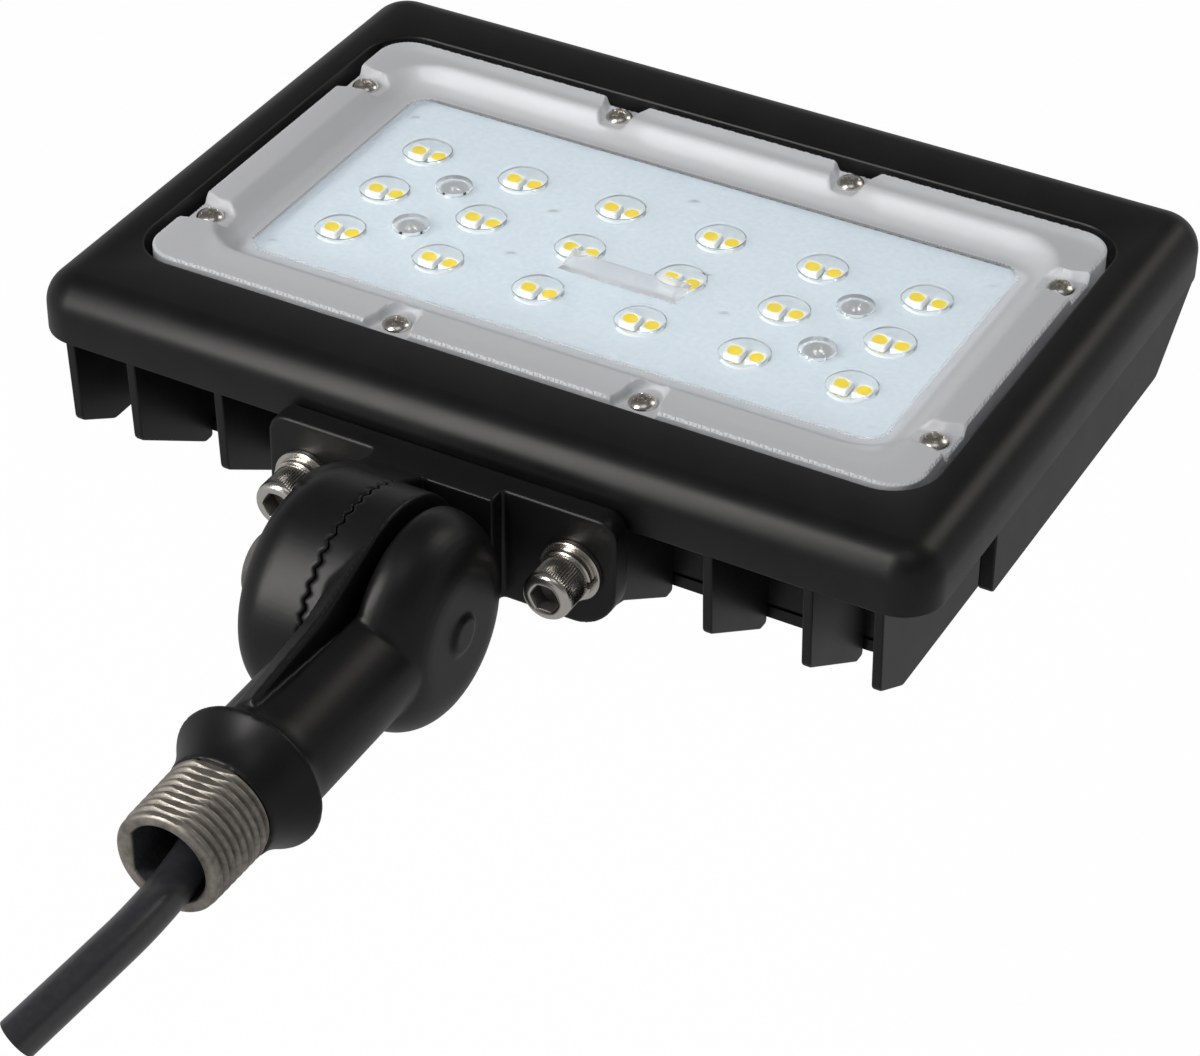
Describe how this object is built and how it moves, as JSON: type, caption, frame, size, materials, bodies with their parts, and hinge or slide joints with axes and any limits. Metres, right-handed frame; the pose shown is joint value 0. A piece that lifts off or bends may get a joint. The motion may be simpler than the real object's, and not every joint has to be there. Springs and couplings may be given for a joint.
{
  "type": "outdoor flood light",
  "caption": "Outdoor LED flood light with a finned cast housing, a clear lens over a light board and a serrated swivel knuckle for a half-inch conduit hub.",
  "frame": {"origin": "on the stem axis at the shoulder where the conduit thread meets the collar", "axes": "+X to the right along the long side of the light, +Y from the thread along the stem towards the head, +Z out of the lit face"},
  "size_m": [0.1906, 0.2873, 0.0477],
  "materials": {
    "black_cast_paint": "satin black powder coat on die-cast aluminium",
    "stainless": "bright stainless steel fasteners",
    "black_rubber": "moulded silicone rubber",
    "clear_lens": "moulded clear polycarbonate with a lightly frosted rim",
    "board_white": "white solder mask on an aluminium board",
    "phosphor": "yellow phosphor in a white package",
    "thermal_silicone": "soft grey thermal pad",
    "driver_case": "plain aluminium driver case",
    "wire_insulation": "insulated leads",
    "cable_jacket": "smooth black cable jacket"
  },
  "bodies": {
    "stem": {"stem": "black_cast_paint", "cable_bush": "black_rubber", "cable_lead_in": "cable_jacket", "supply_cable": "cable_jacket"},
    "head": {"housing": "black_cast_paint", "driver_cover": "black_cast_paint", "cover_gasket": "black_rubber", "cover_screws": "stainless", "driver": "driver_case", "driver_screws": "stainless", "thermal_pad": "thermal_silicone", "led_board": "board_white", "led_packages": "phosphor", "board_screws": "stainless", "lens_gasket": "black_rubber", "lens": "clear_lens", "lens_screws": "stainless", "floor_grommet": "black_rubber", "led_leads": "wire_insulation", "pad_grommet": "black_rubber", "supply_leads": "wire_insulation", "bracket": "black_cast_paint", "bracket_gasket": "black_rubber", "bracket_bolts": "stainless", "spring_washers": "stainless", "flat_washers": "stainless", "knuckle_seal": "black_rubber", "hinge_bolt": "stainless", "hinge_washer": "stainless"}
  },
  "joints": [
    {"name": "knuckle_tilt", "type": "hinge", "parent": "stem", "child": "head", "pos_m": [-0.0088, 0.0605, 0], "axis": [1, 0, 0], "range_deg": [-90, 90]}
  ]
}
